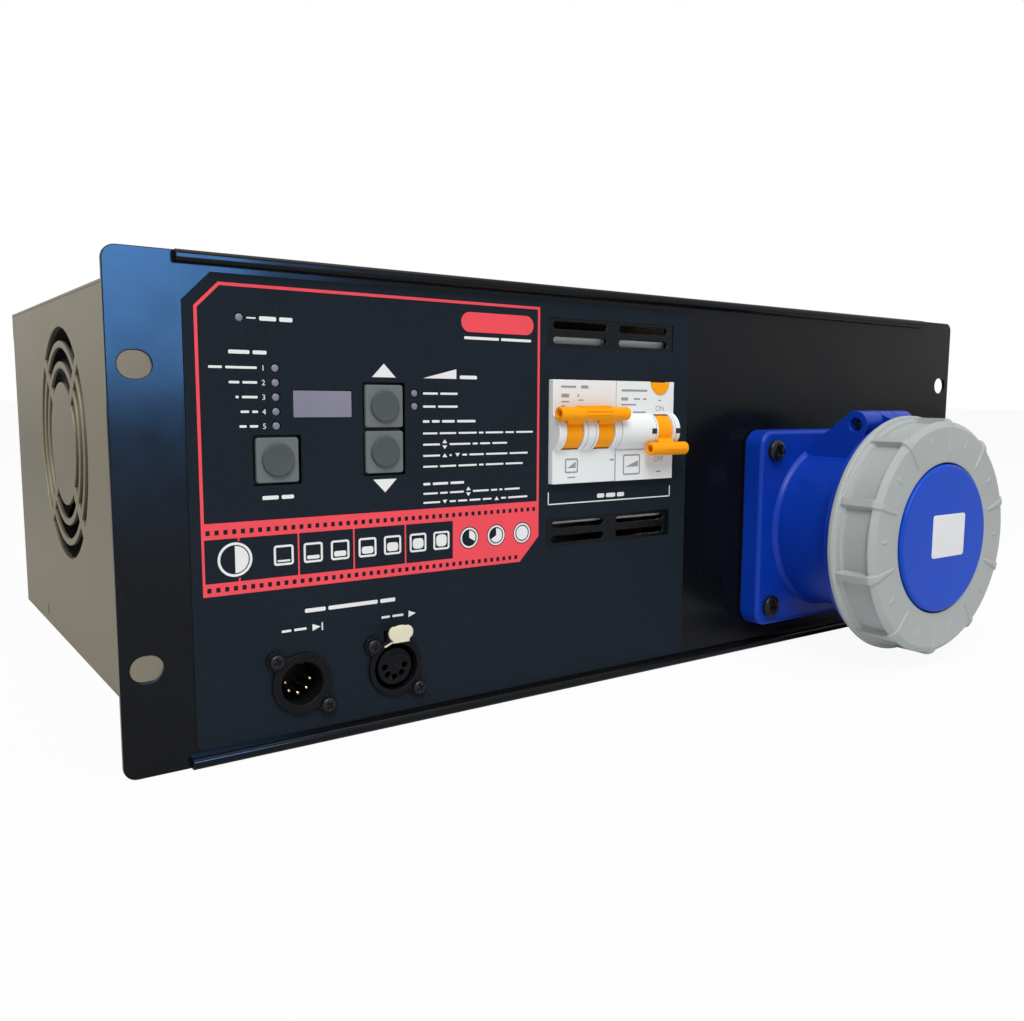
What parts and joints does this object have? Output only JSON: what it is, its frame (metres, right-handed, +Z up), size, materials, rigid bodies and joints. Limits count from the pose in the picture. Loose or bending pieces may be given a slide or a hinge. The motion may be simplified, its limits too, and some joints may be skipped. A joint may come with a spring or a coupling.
{
  "type": "rack-mounted dimmer pack",
  "caption": "Rack panel unit with keys, display, control sockets, breakers and a lidded round outlet, on a closed sheet-metal chassis with side fan grille.",
  "frame": {"origin": "middle of the bounding box at the underside", "axes": "+X to the right along the panel, +Y back from the panel's face, +Z up; the front faces -Y"},
  "size_m": [0.4826, 0.4528, 0.177],
  "materials": {
    "panel_black": "glossy black paint",
    "overlay_dark": "matte dark navy print film",
    "zinc": "bare zinc-plated sheet",
    "window_lilac": "smoked clear plastic",
    "board_green": "solder-masked board",
    "black_plastic": "black moulded plastic",
    "key_grey": "grey-green moulded plastic",
    "breaker_white": "white moulded plastic",
    "orange_plastic": "orange moulded plastic",
    "blue_plastic": "blue moulded plastic",
    "ring_grey": "light grey moulded plastic",
    "label_white": "bare white label film",
    "screw_black": "blackened steel",
    "latch_nickel": "dull nickel plate",
    "steel": "zinc-plated steel",
    "brass": "plain brass",
    "aluminium": "extruded aluminium",
    "rubber": "black rubber",
    "copper": "varnished copper winding on an iron core"
  },
  "bodies": {
    "chassis": {"front_panel": "panel_black", "front_overlay": "overlay_dark", "display_window": "window_lilac", "display_module": "black_plastic", "drive_light_pipe": "window_lilac", "option_light_pipe": "window_lilac", "status_light_pipe": "window_lilac", "control_board": "board_green", "select_switch": "black_plastic", "up_switch": "black_plastic", "down_switch": "black_plastic", "dmx_in_shell": "black_plastic", "dmx_in_insert": "brass", "dmx_thru_shell": "black_plastic", "dmx_thru_insert": "black_plastic", "dmx_screw_1": "screw_black", "dmx_screw_2": "screw_black", "dmx_screw_3": "screw_black", "dmx_screw_4": "screw_black", "mcb_body": "breaker_white", "rcd_body": "breaker_white", "din_rail": "steel", "rail_bracket": "steel", "socket_gasket": "rubber", "socket_housing": "blue_plastic", "socket_insert": "black_plastic", "socket_contact_1": "brass", "socket_contact_2": "brass", "socket_contact_3": "brass", "hinge_pin": "screw_black", "socket_screw_1": "screw_black", "socket_screw_2": "screw_black", "socket_screw_3": "screw_black", "socket_screw_4": "screw_black", "chassis_tray": "zinc", "top_cover": "zinc", "rear_panel": "zinc", "cover_screw_1": "screw_black", "cover_screw_2": "screw_black", "fan_frame": "black_plastic", "heat_sink": "aluminium", "thyristor_module": "black_plastic", "choke": "copper", "choke_clamp": "steel", "supply_transformer": "steel", "terminal_block": "breaker_white", "cable_gland": "black_plastic", "gland_nut": "black_plastic"},
    "select_key": {"select_button": "key_grey"},
    "up_key": {"up_button": "key_grey"},
    "down_key": {"down_button": "key_grey"},
    "mcb_lever": {"mcb_toggle": "orange_plastic"},
    "rcd_lever": {"rcd_toggle": "orange_plastic"},
    "test_key": {"rcd_test_button": "orange_plastic"},
    "thru_latch": {"dmx_thru_latch": "latch_nickel"},
    "socket_lid": {"lid_bracket": "blue_plastic", "lid_disc": "blue_plastic", "lid_label": "label_white"},
    "lock_ring": {"bayonet_ring": "ring_grey"},
    "fan_rotor": {"fan_rotor": "black_plastic"}
  },
  "joints": [
    {"name": "select_press", "type": "slide", "parent": "chassis", "child": "select_key", "axis": [0, 1, 0], "range_m": [0, 0.0015], "stiffness_N_per_m": 600, "springref_m": -0.001},
    {"name": "up_press", "type": "slide", "parent": "chassis", "child": "up_key", "axis": [0, 1, 0], "range_m": [0, 0.0015], "stiffness_N_per_m": 600, "springref_m": -0.001},
    {"name": "down_press", "type": "slide", "parent": "chassis", "child": "down_key", "axis": [0, 1, 0], "range_m": [0, 0.0015], "stiffness_N_per_m": 600, "springref_m": -0.001},
    {"name": "test_press", "type": "slide", "parent": "chassis", "child": "test_key", "axis": [0, 1, 0], "range_m": [0, 0.0014], "stiffness_N_per_m": 600, "springref_m": -0.001},
    {"name": "latch_press", "type": "slide", "parent": "chassis", "child": "thru_latch", "axis": [0, 1, 0], "range_m": [0, 0.0018], "stiffness_N_per_m": 600, "springref_m": -0.001},
    {"name": "mcb_switch", "type": "hinge", "parent": "chassis", "child": "mcb_lever", "pos_m": [-0.04797, -0.14423, 0.1151], "axis": [1, 0, 0], "range_deg": [0, 80.6]},
    {"name": "rcd_switch", "type": "hinge", "parent": "chassis", "child": "rcd_lever", "pos_m": [-0.00391, -0.14423, 0.1151], "axis": [-1, 0, 0], "range_deg": [0, 80.6]},
    {"name": "lid_hinge", "type": "hinge", "parent": "chassis", "child": "socket_lid", "pos_m": [0.1115, -0.1866, 0.118], "axis": [-1, 0, 0], "range_deg": [0, 120]},
    {"name": "ring_turn", "type": "hinge", "parent": "socket_lid", "child": "lock_ring", "pos_m": [0.1115, -0.2126, 0.0645], "axis": [0, 1, 0], "range_deg": [0, 45]},
    {"name": "fan_spin", "type": "hinge", "parent": "chassis", "child": "fan_rotor", "pos_m": [-0.207, 0.0524, 0.1044], "axis": [1, 0, 0], "continuous": true}
  ]
}
